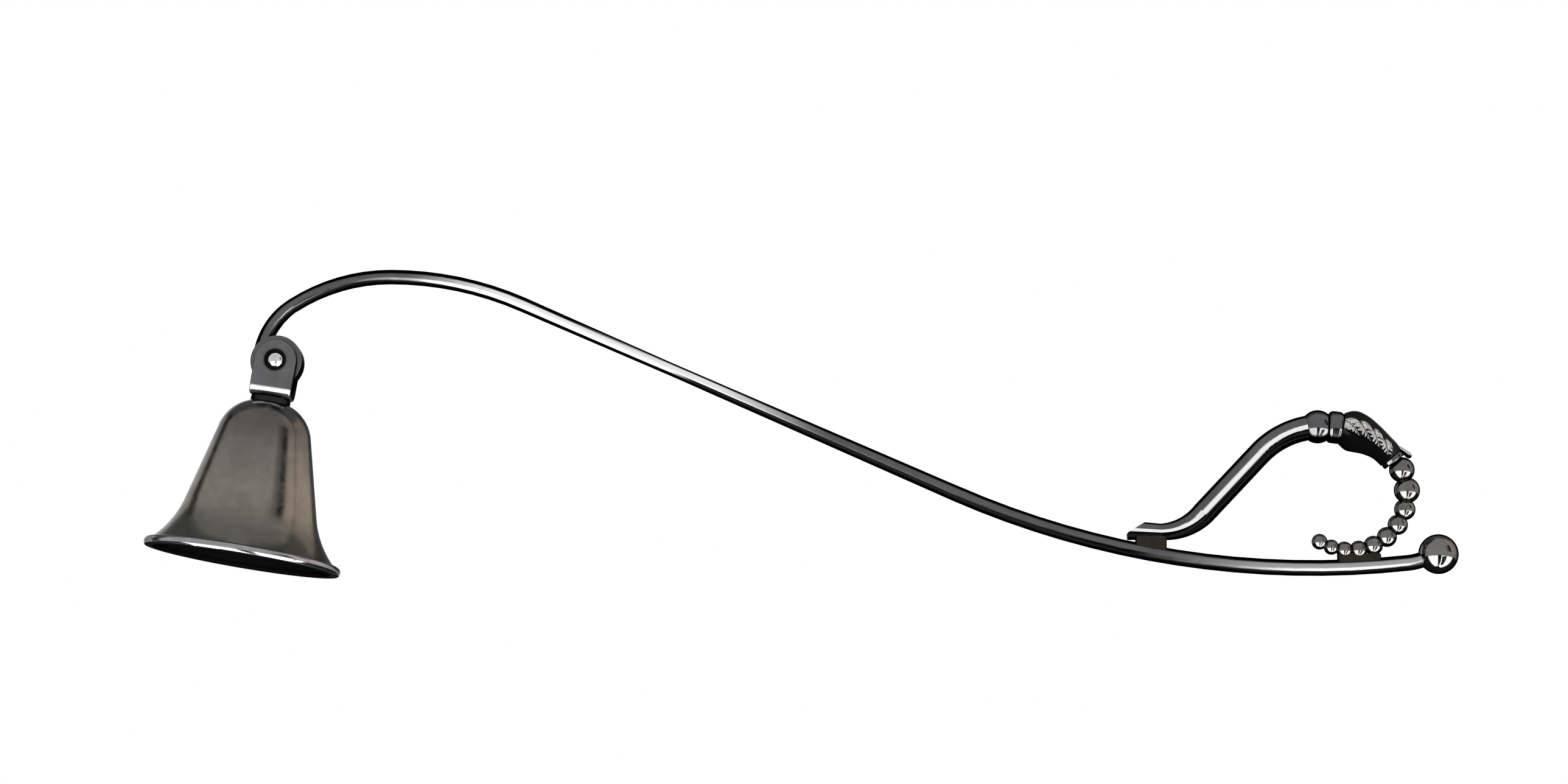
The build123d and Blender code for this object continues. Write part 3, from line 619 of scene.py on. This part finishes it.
def direction(azimuth, elevation):
    """Unit vector towards an azimuth, counted from the camera's side towards the ball, and an elevation."""
    side, rise = radians(azimuth), radians(elevation)
    return Vector((sin(side) * cos(rise), -cos(side) * cos(rise), sin(rise)))


def aimed(thing, towards):
    """Turns a lamp or the camera to look against a direction."""
    thing.rotation_euler = (-towards).to_track_quat("-Z", "Y").to_euler()


def glow(name, level, colour):
    """Plain light of a panel."""
    material, tree = new_material(name)
    light = add_node(tree, "ShaderNodeEmission", (0, 0), {"Color": opaque(colour), "Strength": level})
    add_node(tree, "ShaderNodeOutputMaterial", (300, 0), {"Surface": light.outputs[0]})
    return material


def reflected_card(name, points, faces, level, colour):
    """A card that only the object's reflections see."""
    mesh = bpy.data.meshes.new(name)
    mesh.from_pydata(points, [], faces)
    mesh.materials.append(glow(name, level, colour))
    card = bpy.data.objects.new(name, mesh)
    bpy.context.scene.collection.objects.link(card)
    card.visible_camera = False
    card.visible_diffuse = False
    card.visible_shadow = False
    card.visible_transmission = False


def panel(name, azimuths, elevations, level, colour, centre):
    """A curved panel round the object."""
    points = []
    for row in range(PANEL_STEPS + 1):
        elevation = elevations[0] + (elevations[1] - elevations[0]) * row / PANEL_STEPS
        for column in range(PANEL_STEPS + 1):
            azimuth = azimuths[0] + (azimuths[1] - azimuths[0]) * column / PANEL_STEPS
            points.append(centre + PANEL_DISTANCE * direction(azimuth, elevation))
    faces = []
    for row in range(PANEL_STEPS):
        for column in range(PANEL_STEPS):
            corner = row * (PANEL_STEPS + 1) + column
            above = corner + PANEL_STEPS + 1
            faces.append((corner, corner + 1, above + 1, above))
    reflected_card(name, points, faces, level, colour)


def white_surroundings(level):
    """World that is plain white to the eye and in reflections, and lights the floor less."""
    world = bpy.data.worlds.new("Studio")
    world.use_nodes = True
    bpy.context.scene.world = world
    tree = world.node_tree
    tree.nodes.clear()
    path = add_node(tree, "ShaderNodeLightPath", (-500, 0)).outputs
    seen = maths(tree, (-300, 0), "ADD", path["Is Camera Ray"], path["Is Glossy Ray"])
    clear = maths(tree, (-100, 0), "ADD", seen, path["Is Transmission Ray"])
    strength = mapped(tree, (100, 0), clear, (0.0, 1.0), (level, 1.0))
    sky = add_node(tree, "ShaderNodeBackground", (300, 0), {"Color": opaque(WHITE), "Strength": strength})
    add_node(tree, "ShaderNodeOutputWorld", (500, 0), {"Surface": sky.outputs[0]})


def floor_paint(colour):
    """Matt pale paint that is clear from below, with a faint grain."""
    grain_scale, grain_tones = 350.0, (0.97, 1.0)
    material, tree = new_material("Floor paint")
    grain = noise(tree, (-500, 0), {"Scale": grain_scale})
    tone = mapped(tree, (-300, 0), grain, (0.0, 1.0), grain_tones)
    grained = mixed(tree, (-100, 0), 1.0, opaque(colour), tone, "MULTIPLY")
    paint = add_node(tree, "ShaderNodeBsdfDiffuse", (150, 0), {"Color": grained})
    clear = add_node(tree, "ShaderNodeBsdfTransparent", (150, -150))
    side = add_node(tree, "ShaderNodeNewGeometry", (150, 250))
    either = add_node(tree, "ShaderNodeMixShader", (400, 0),
                      {"Fac": side.outputs["Backfacing"], 1: paint.outputs[0], 2: clear.outputs[0]})
    add_node(tree, "ShaderNodeOutputMaterial", (600, 0), {"Surface": either.outputs[0]})
    return material


class SNUFFER_OT_stage(Operator):
    """Sets up the camera, the pale floor, the white surroundings, the lamps and the light panels"""
    bl_idname = "snuffer.stage"
    bl_label = "Stage"

    def execute(self, context):
        stage = context.scene.snuffer_stage
        objects = context.scene.collection.objects
        context.scene.view_settings.view_transform = "Standard"
        white_surroundings(stage.sky_level)
        target = PIN + Vector(stage.target)

        mesh = bpy.data.meshes.new("floor")
        corners = [(-FLOOR_REACH, -FLOOR_REACH, 0.0), (FLOOR_REACH, -FLOOR_REACH, 0.0),
                   (FLOOR_REACH, FLOOR_REACH, 0.0), (-FLOOR_REACH, FLOOR_REACH, 0.0)]
        mesh.from_pydata(corners, [], [(0, 1, 2, 3)])
        mesh.materials.append(floor_paint(stage.floor_colour))
        floor = bpy.data.objects.new("floor", mesh)
        objects.link(floor)
        floor.visible_glossy = False
        floor.visible_shadow = False

        for name, azimuths, elevations, level, colour in PANELS:
            panel(name, azimuths, elevations, level, colour, target)
        (left, right), (low, high) = BALL_FLAG_X, BALL_FLAG_Z
        corners = [(left, BALL_FLAG_Y, low), (right, BALL_FLAG_Y, low),
                   (right, BALL_FLAG_Y, high), (left, BALL_FLAG_Y, high)]
        reflected_card("ball_flag", corners, [(0, 1, 2, 3)], 0.0, WHITE)

        for name, azimuth, elevation, distance, size, power in LAMPS:
            light = bpy.data.lights.new(name, "AREA")
            light.shape = "DISK"
            light.size = size
            light.energy = power
            lamp = bpy.data.objects.new(name, light)
            objects.link(lamp)
            towards = direction(azimuth, elevation)
            lamp.location = target + distance * towards
            aimed(lamp, towards)
            lamp.visible_camera = False
            lamp.visible_glossy = False

        lens = bpy.data.cameras.new("camera")
        lens.sensor_width = SENSOR_WIDTH
        lens.sensor_fit = "HORIZONTAL"
        lens.lens = SENSOR_WIDTH * stage.focal_pixels / PHOTO_WIDTH
        lens.clip_start = NEAREST_SEEN
        camera = bpy.data.objects.new("camera", lens)
        objects.link(camera)
        rise = stage.camera_elevation
        towards = Vector((0.0, -cos(rise), sin(rise)))
        camera.location = target + stage.camera_distance * towards
        aimed(camera, towards)
        context.scene.camera = camera
        return {"FINISHED"}


# Leaf bud


# The crook's circle and the bud along it, as in the CAD model
CROOK_CENTRE = Vector((0.0983567, 0.0, 0.0115688))
CROOK_RADIUS = 0.0167
CROOK_START = radians(-10.3)
BUD_START = 0.0066
BUD_LENGTH = 0.01085
BUD_RADIUS = 0.00375
BUD_PLACES = (0.0, 0.16, 0.32, 0.56, 0.78, 1.0)
BUD_SHARES = (0.82, 1.0, 0.97, 0.80, 0.68, 0.66)
BUD_ROWS, BUD_COLUMNS = 150, 200
BUD_START_STEEPNESS, BUD_END_STEEPNESS = 12.0, 8.0  # of the relief's fading at the bud's ends
TO_MILLIMETRES = 1000.0

# The side leaves: places along the bud, sizes, turn from its outer side and slant to its length
LEAF_PLACES = (0.13, 0.37, 0.60, 0.82)
LEAF_SIZES = (1.0, 0.97, 0.9, 0.8)
LEAF_TURN = radians(82.0)
LEAF_SLANT = radians(34.0)
LEAF_ROOT_SHARE = 0.45  # of a leaf's length that lies before its place
LEAF_SWELL, LEAF_BLUNTNESS = 0.75, 0.7
LOBES, LOBE_DEPTH = 5.0, 0.09
RIB_WIDTH, RIB_DEPTH = 0.0002, 0.0005
VEIN_SPACING, VEIN_SLANT, VEIN_DEPTH = 0.00085, 0.9, 0.0002
SMALLEST_WIDTH = 1e-6

# The bud's back: two ridges beside a groove
BACK_TURN = 0.9
RIDGE_HEIGHT, RIDGE_PLACE, RIDGE_WIDTH = 0.00022, 0.00075, 0.00042
GROOVE_DEPTH, GROOVE_WIDTH = 0.00038, 0.00026

# The curled leaf tip over the bud's end
TIP_REACH, TIP_ROOT_SINK = 0.0034, 0.0011
TIP_MIDDLE_SINK = 0.0001
TIP_OVERHANG, TIP_RISE = 0.0021, 0.0005
TIP_HALF_WIDTH, TIP_HALF_THICKNESS = 0.0013, 0.00055
TIP_ROOT_SIZE, TIP_GROWTH, TIP_SMALLEST = 0.5, 0.55, 0.12
TIP_ROUNDING = 0.82  # share of the tip's length where its rounded end starts
TIP_GROOVE_DEPTH, TIP_GROOVE_WIDTH = 0.00022, 0.2
TIP_RELIEF = 0.45
TIP_STEPS, TIP_AROUND = 40, 48


def along_crook(length, turn, radius):
    """Point at a length along the crook, turned round its centre line from its outer side, at a radius."""
    angle = CROOK_START + length / CROOK_RADIUS
    out = Vector((sin(angle), 0.0, cos(angle)))
    across = Vector((0.0, 1.0, 0.0))
    return CROOK_CENTRE + CROOK_RADIUS * out + radius * (cos(turn) * out + sin(turn) * across)


def bud_radius(place):
    """Radius of the bud's body at a share of its length, on a smooth curve through its sections."""
    last = len(BUD_PLACES) - 1
    slopes = []
    for number in range(last + 1):
        before, after = max(number - 1, 0), min(number + 1, last)
        slopes.append((BUD_SHARES[after] - BUD_SHARES[before])
                      / (BUD_PLACES[after] - BUD_PLACES[before]))
    number = next((n for n in range(last) if place <= BUD_PLACES[n + 1]), last - 1)
    step = BUD_PLACES[number + 1] - BUD_PLACES[number]
    share = (place - BUD_PLACES[number]) / step
    rest = 1.0 - share
    return BUD_RADIUS * (
        BUD_SHARES[number] * rest**2 * (1.0 + 2.0 * share)
        + slopes[number] * step * share * rest**2
        + BUD_SHARES[number + 1] * share**2 * (3.0 - 2.0 * share)
        - slopes[number + 1] * step * share**2 * rest)


def leaf_relief(place, turn, finish):
    """Height of the side leaves above the bud's body, with their ribs and veins."""
    height = 0.0
    for leaf_place, size in zip(LEAF_PLACES, LEAF_SIZES):
        ahead = (place - leaf_place) * BUD_LENGTH
        down = (abs(turn) - LEAF_TURN) * bud_radius(leaf_place)
        long = ahead * cos(LEAF_SLANT) + down * sin(LEAF_SLANT)
        wide = down * cos(LEAF_SLANT) - ahead * sin(LEAF_SLANT)
        share = long / (size * finish.leaf_length) + LEAF_ROOT_SHARE
        if not 0.0 < share < 1.0:
            continue
        lobes = 1.0 + LOBE_DEPTH * (abs(sin(LOBES * pi * share)) - 0.5)
        outline = sin(pi * share**LEAF_SWELL) ** LEAF_BLUNTNESS
        half = 0.5 * size * finish.leaf_width * lobes * outline
        side = abs(wide) / max(half, SMALLEST_WIDTH)
        if side >= 1.0:
            continue
        dome = (1.0 - side * side) ** 0.5 * sin(pi * share) ** 0.5
        rib = exp(-((wide / RIB_WIDTH) ** 2))
        veins = 0.5 + 0.5 * cos(2.0 * pi * (long - VEIN_SLANT * abs(wide)) / VEIN_SPACING)
        cut = RIB_DEPTH * rib + VEIN_DEPTH * veins * (1.0 - rib)
        height = max(height, size * dome * (finish.leaf_rise - cut))
    return height


def back_relief(place, turn):
    """Height of the bud's back: a groove along its middle between two rounded ridges."""
    across = turn * bud_radius(place)
    ridges = RIDGE_HEIGHT * exp(-(((abs(across) - RIDGE_PLACE) / RIDGE_WIDTH) ** 2))
    return ridges - GROOVE_DEPTH * exp(-((across / GROOVE_WIDTH) ** 2))


def bud_body(finish):
    """Points, heights of relief in millimetres and faces of the bud with its side leaves."""
    points, relief, faces = [], [], []
    for row in range(BUD_ROWS + 1):
        place = row / BUD_ROWS
        fade = min(1.0, BUD_END_STEEPNESS * (1.0 - place), BUD_START_STEEPNESS * place)
        for column in range(BUD_COLUMNS):
            turn = 2.0 * pi * column / BUD_COLUMNS
            turn = turn if turn <= pi else turn - 2.0 * pi
            height = leaf_relief(place, turn, finish)
            if abs(turn) < BACK_TURN:
                height = max(height, 0.0) + back_relief(place, turn)
            radius = bud_radius(place) + fade * height
            points.append(along_crook(BUD_START + place * BUD_LENGTH, turn, radius))
            relief.append(TO_MILLIMETRES * height)
    for row in range(BUD_ROWS):
        for column in range(BUD_COLUMNS):
            corner = row * BUD_COLUMNS + column
            beside = row * BUD_COLUMNS + (column + 1) % BUD_COLUMNS
            faces.append((corner, corner + BUD_COLUMNS, beside + BUD_COLUMNS, beside))
    end = BUD_ROWS * BUD_COLUMNS
    faces.append(tuple(range(BUD_COLUMNS)))
    faces.append(tuple(reversed(range(end, end + BUD_COLUMNS))))
    return points, relief, faces


def leaf_tip(first):
    """Points, heights of relief and faces of the curled leaf tip, counted on from a first point."""
    points, relief, faces = [], [], []
    end = BUD_START + BUD_LENGTH
    surface = BUD_SHARES[-1] * BUD_RADIUS
    root = along_crook(end - TIP_REACH, 0.0, surface - TIP_ROOT_SINK)
    middle = along_crook(end, 0.0, surface - TIP_MIDDLE_SINK)
    point = along_crook(end + TIP_OVERHANG, 0.0, surface + TIP_RISE)
    control = 2.0 * middle - 0.5 * (root + point)
    for step in range(TIP_STEPS + 1):
        share = step / TIP_STEPS
        centre = (1 - share) ** 2 * root + 2 * share * (1 - share) * control + share**2 * point
        ahead = (2 * (1 - share) * (control - root) + 2 * share * (point - control)).normalized()
        up = ahead.cross(Vector((0.0, 1.0, 0.0))).normalized()
        up = up if up.x + up.z > 0.0 else -up
        into_end = (max(share, TIP_ROUNDING) - TIP_ROUNDING) / (1.0 - TIP_ROUNDING)
        close = max(0.0, 1.0 - into_end**2) ** 0.5
        size = (TIP_ROOT_SIZE + TIP_GROWTH * share) * max(close, TIP_SMALLEST)
        for number in range(TIP_AROUND):
            turn = 2.0 * pi * number / TIP_AROUND
            wide, high = cos(turn), sin(turn)
            groove = 0.0
            if high > 0.0:
                groove = TIP_GROOVE_DEPTH * exp(-((wide / TIP_GROOVE_WIDTH) ** 2)) * close
            across = Vector((0.0, TIP_HALF_WIDTH * size * wide, 0.0))
            points.append(centre + across + (TIP_HALF_THICKNESS * size * high - groove) * up)
            relief.append(TIP_RELIEF - TO_MILLIMETRES * groove)
    for step in range(TIP_STEPS):
        for number in range(TIP_AROUND):
            corner = first + step * TIP_AROUND + number
            beside = first + step * TIP_AROUND + (number + 1) % TIP_AROUND
            faces.append((corner, beside, beside + TIP_AROUND, corner + TIP_AROUND))
    last = first + TIP_STEPS * TIP_AROUND
    faces.append(tuple(reversed(range(first, first + TIP_AROUND))))
    faces.append(tuple(range(last, last + TIP_AROUND)))
    return points, relief, faces


def bud_mesh(finish):
    """Carved bud with its leaves, its curled tip and the height of its relief as an attribute."""
    points, relief, faces = bud_body(finish)
    tip_points, tip_relief, tip_faces = leaf_tip(len(points))
    mesh = bpy.data.meshes.new("carved_bud")
    mesh.from_pydata(points + tip_points, [], faces + tip_faces)
    mesh.polygons.foreach_set("use_smooth", [True] * len(mesh.polygons))
    mesh.attributes.new("relief", "FLOAT", "POINT").data.foreach_set("value", relief + tip_relief)
    mesh.validate()
    return mesh


# Pieces


# Stretches of the rod, as the places along x between which an effect fades in and then out
ARCH_ROOT = ((-0.13, -0.12), (-0.082, -0.064))
ARCH_TOP = ((-0.095, -0.085), (-0.045, -0.020))
HIGHLIGHT_ARCH = ((-0.076, -0.056), (-0.020, 0.006))
STRAIGHT = ((-0.02, 0.0), (0.06, 0.08))
STRAIGHT_UNDERSIDE = ((-0.038, -0.020), (0.060, 0.074))
HEEL = ((0.06, 0.08), (0.16, 0.17))
HIGHLIGHT_HEEL = ((0.066, 0.092), (0.16, 0.17))

RIM_LEAN = 1.3  # of the rim's soot towards its underside, where it is painted shade
SHADE_RING_INNER, SHADE_RING_OUTER = 0.0019, 0.0024  # radii of the ring of painted shade round the pin's head
PAD_SEAM, BEAD_SEAM = 0.0025, 0.0008  # reach of the painted shade out of the seams
BEAD_COUNT = 10


class SNUFFER_OT_bell(Operator):
    """Finishes the bell and its rim wire"""
    bl_idname = "snuffer.bell"
    bl_label = "Bell"

    def execute(self, context):
        finish = context.scene.snuffer_finish
        # A painted reflection along the bell's wall and soot inside it; soot and painted shade on the rim
        # wire's underside
        finish_node("bell_cup", silver(
            "Bell silver", finish.bell_colour, finish.bell_tarnish, amount=0.6, roughness=0.16,
            clouds=70.0, dents=160.0, edge=0.6, effects=[painted_bell_reflection, soot_and_shade(0.0)]))
        finish_node("rim_wire", silver(
            "Rim silver", finish.rim_colour, finish.rod_tarnish, amount=0.3, roughness=0.10,
            clouds=120.0, dents=300.0, edge=0.3, effects=[soot_and_shade(RIM_LEAN)]))
        return {"FINISHED"}


class SNUFFER_OT_hinge(Operator):
    """Finishes the yoke, its rivet and collar, and the hinge pin"""
    bl_idname = "snuffer.hinge"
    bl_label = "Hinge"

    def execute(self, context):
        finish = context.scene.snuffer_finish
        # Painted highlight on the yoke's bend and painted shade round the pin's head
        finish_node("yoke", silver(
            "Yoke silver", finish.yoke_colour, finish.yoke_tarnish, amount=0.5, roughness=0.14,
            clouds=200.0, dents=400.0, edge=0.05,
            effects=[painted_bend_highlight(finish.pin_colour), painted_shade_ring(SHADE_RING_INNER, SHADE_RING_OUTER)]))
        finish_node("hinge_pin", silver(
            "Pin silver", finish.pin_colour, finish.rod_colour, amount=0.4, roughness=0.10,
            clouds=300.0, dents=600.0, edge=0.2))
        # Painted shade round the bell's neck: the neck collar and the crown rivet are near black
        dark = silver(
            "Neck shade silver", finish.neck_shade_and_patina, finish.neck_shade_and_pad_tarnish, amount=0.5, roughness=0.25,
            clouds=200.0, dents=400.0, edge=0.2)
        for name in ("neck_collar", "crown_rivet"):
            finish_node(name, dark)
        return {"FINISHED"}


class SNUFFER_OT_rod(Operator):
    """Finishes the rod, its ball, the stem and the soldered pads"""
    bl_idname = "snuffer.rod"
    bl_label = "Rod, ball and stem"

    def execute(self, context):
        finish = context.scene.snuffer_finish
        finish_node("handle_rod", silver(
            "Rod silver", finish.rod_colour, finish.rod_tarnish, amount=0.5, roughness=0.18,
            clouds=90.0, dents=250.0, edge=0.0,
            # Painted highlights on the arch and the heel; painted shade on the edges, on the arch's top and
            # on the underside
            effects=[along_rod(HIGHLIGHT_ARCH, painted_highlight(finish.highlight_colour)),
                     along_rod(HIGHLIGHT_HEEL, painted_highlight(finish.heel_highlight_colour)),
                     painted_dark_edges(0.86, 0.72),
                     along_rod(HEEL, painted_dark_edges(0.96, 0.84)),
                     along_rod(ARCH_ROOT, painted_dark_edges(0.95, 0.84)),
                     along_rod(ARCH_TOP, painted_by_tilt(0.25, 0.45)),
                     along_rod(STRAIGHT, painted_dark_edges(0.92, 0.78)),
                     along_rod(STRAIGHT_UNDERSIDE, painted_by_tilt(-0.10, -0.32)),
                     painted_by_tilt(-0.45, -0.64)]))
        finish_node("stem", silver(
            "Stem silver", finish.rod_colour, finish.rod_tarnish, amount=0.5, roughness=0.11,
            clouds=90.0, dents=250.0, edge=0.0,
            # Painted shade on the edges and the underside, and a painted highlight band along the sides
            effects=[painted_dark_edges(0.80, 0.62), painted_by_tilt(0.10, 0.02, finish.highlight_colour),
                     painted_by_tilt(-0.03, -0.11)]))
        finish_node("ball_finial", silver(
            "Ball silver", finish.bead_colour, finish.bell_tarnish, amount=0.25, roughness=0.08,
            clouds=120.0, dents=250.0, edge=0.0))
        # Painted shade in the seams round the pads
        solder = silver(
            "Solder pads", finish.pad_colour, finish.neck_shade_and_pad_tarnish, amount=0.6, roughness=0.2,
            clouds=300.0, dents=700.0, edge=0.0, effects=[shade_in_seams(PAD_SEAM)])
        for name in ("stem_pad", "tail_pad"):
            finish_node(name, solder)
        return {"FINISHED"}


class SNUFFER_OT_crook(Operator):
    """Finishes the collar and the beads, and carves the leaf bud"""
    bl_idname = "snuffer.crook"
    bl_label = "Bud and beads"

    def execute(self, context):
        finish = context.scene.snuffer_finish
        # Painted shade in the seams and on the underside of the collars
        metal = silver(
            "Collar silver", finish.rod_colour, finish.rod_tarnish, amount=0.5, roughness=0.10,
            clouds=250.0, dents=600.0, edge=0.0, effects=[shade_in_seams(BEAD_SEAM), painted_by_tilt(-0.5, -0.7)])
        for name in ("collar_bead", "collar_ring", "bud_tip_collar"):
            finish_node(name, metal)
        mesh = bud_mesh(finish)
        # Painted shade on the bud's underside; the dark ground between the leaves is patina
        mesh.materials.append(silver(
            "Bud silver", finish.leaf_colour, finish.rod_tarnish, amount=0.3, roughness=0.12,
            clouds=250.0, dents=600.0, edge=0.0,
            effects=[worn_relief(finish.neck_shade_and_patina), painted_by_tilt(-0.1, -0.3)]))
        bud = bpy.data.objects.new("carved_bud", mesh)
        context.scene.collection.objects.link(bud)
        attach(bud, "handle")
        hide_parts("bud")
        # Painted shade in the seams between the beads
        beads = silver(
            "Bead silver", finish.bead_colour, finish.rod_tarnish, amount=0.5, roughness=0.09,
            clouds=250.0, dents=600.0, edge=0.0, effects=[shade_in_seams(BEAD_SEAM)])
        for number in range(1, BEAD_COUNT + 1):
            finish_node(f"bead_{number:02d}", beads)
        return {"FINISHED"}


class SNUFFER_PT_panel(Panel):
    """Lists the pieces of the snuffer"""
    bl_label = "Snuffer"
    bl_idname = "SNUFFER_PT_panel"
    bl_space_type = "VIEW_3D"
    bl_region_type = "UI"
    bl_category = "Snuffer"

    def draw(self, context):
        for operator in OPERATORS:
            self.layout.operator(operator.bl_idname)


OPERATORS = (SNUFFER_OT_stage, SNUFFER_OT_bell, SNUFFER_OT_hinge, SNUFFER_OT_rod, SNUFFER_OT_crook)
CLASSES = (SnufferFinish, SnufferStage) + OPERATORS + (SNUFFER_PT_panel,)


def register():
    for item in CLASSES:
        bpy.utils.register_class(item)
    bpy.types.Scene.snuffer_finish = PointerProperty(type=SnufferFinish)
    bpy.types.Scene.snuffer_stage = PointerProperty(type=SnufferStage)


def unregister():
    del bpy.types.Scene.snuffer_stage
    del bpy.types.Scene.snuffer_finish
    for item in reversed(CLASSES):
        bpy.utils.unregister_class(item)


def main():
    register()
    bpy.ops.snuffer.stage()
    bpy.ops.snuffer.bell()
    bpy.ops.snuffer.hinge()
    bpy.ops.snuffer.rod()
    bpy.ops.snuffer.crook()


if __name__ == "__main__":
    main()
